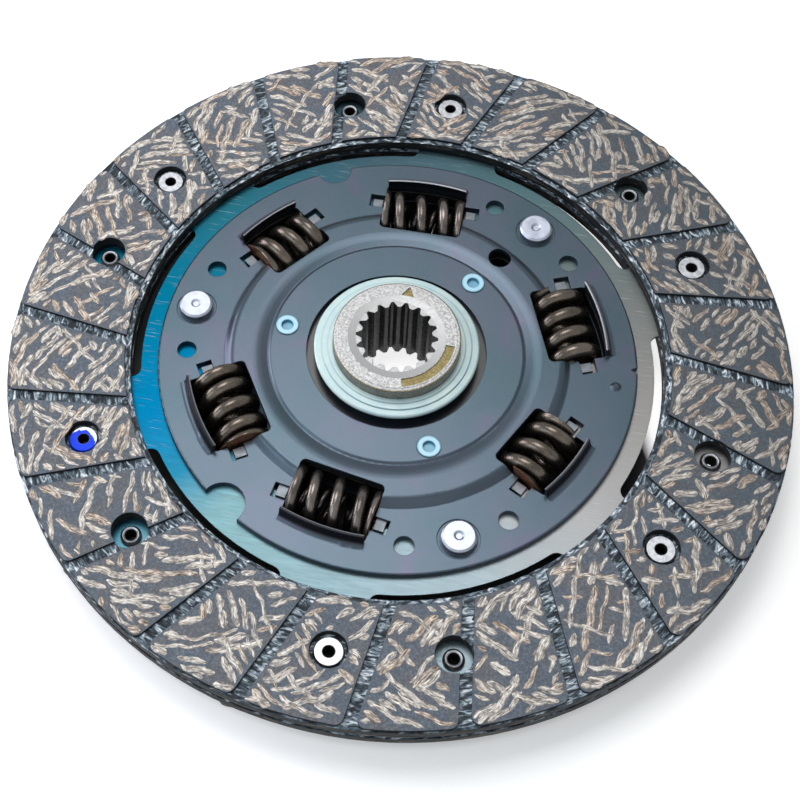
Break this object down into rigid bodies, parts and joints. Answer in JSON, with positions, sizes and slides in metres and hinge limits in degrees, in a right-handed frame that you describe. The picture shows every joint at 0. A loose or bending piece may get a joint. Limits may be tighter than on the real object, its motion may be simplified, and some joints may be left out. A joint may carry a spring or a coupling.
{
  "type": "clutch disc",
  "caption": "Round dry clutch disc: grooved friction rings riveted to a waved steel carrier, two cover plates, coil springs in windows, and a splined hub that turns a few degrees.",
  "frame": {"origin": "on the disc's axis at the rear end face of the hub, where the part stands", "axes": "+Z along the axis to the flywheel side, +Y towards one of the three stop pins"},
  "size_m": [0.2, 0.2, 0.0228],
  "materials": {
    "facing": "matt woven friction lining",
    "carrier_steel": "bare cold-rolled spring steel",
    "phosphated_steel": "satin blue-grey phosphate",
    "zinc_steel": "bright zinc plate",
    "spring_steel": "oil-tempered dark bronze",
    "hub_steel": "bead-blasted steel",
    "flange_steel": "hardened dark steel",
    "plain_steel": "plain strip steel",
    "blue_plastic": "pale blue moulded plastic",
    "dark_plastic": "dark moulded friction plastic"
  },
  "bodies": {
    "hub_body": {"hub": "hub_steel", "hub_flange": "flange_steel", "front_friction_washer": "plain_steel"},
    "plate_body": {"front_facing": "facing", "rear_facing": "facing", "carrier_disc": "carrier_steel", "front_facing_rivets": "zinc_steel", "rear_facing_rivets": "zinc_steel", "front_cover_plate": "phosphated_steel", "rear_cover_plate": "phosphated_steel", "stop_pin_1": "zinc_steel", "stop_pin_2": "zinc_steel", "stop_pin_3": "zinc_steel", "front_bush": "blue_plastic", "rear_friction_ring": "dark_plastic", "pressure_washer": "plain_steel", "diaphragm_spring": "plain_steel"},
    "spring_pack": {"main_spring_1": "spring_steel", "main_spring_2": "spring_steel", "main_spring_3": "spring_steel", "main_spring_4": "spring_steel", "light_spring_1": "spring_steel", "light_spring_2": "spring_steel", "inner_spring_1": "spring_steel", "inner_spring_2": "spring_steel"}
  },
  "joints": [
    {"name": "damper_turn", "type": "hinge", "parent": "hub_body", "child": "plate_body", "pos_m": [0, 0, 0.0114], "axis": [0, 0, 1], "range_deg": [-6, 6], "stiffness_Nm_per_rad": 60, "deforming": ["main_spring_1", "main_spring_2", "main_spring_3", "main_spring_4", "light_spring_1", "light_spring_2", "inner_spring_1", "inner_spring_2"]},
    {"name": "spring_turn", "type": "hinge", "parent": "hub_body", "child": "spring_pack", "pos_m": [0, 0, 0.0114], "axis": [0, 0, 1], "range_deg": [-3, 3]}
  ],
  "couplings": [
    {"joint": "spring_turn", "follows": "damper_turn", "ratio": 0.5}
  ]
}
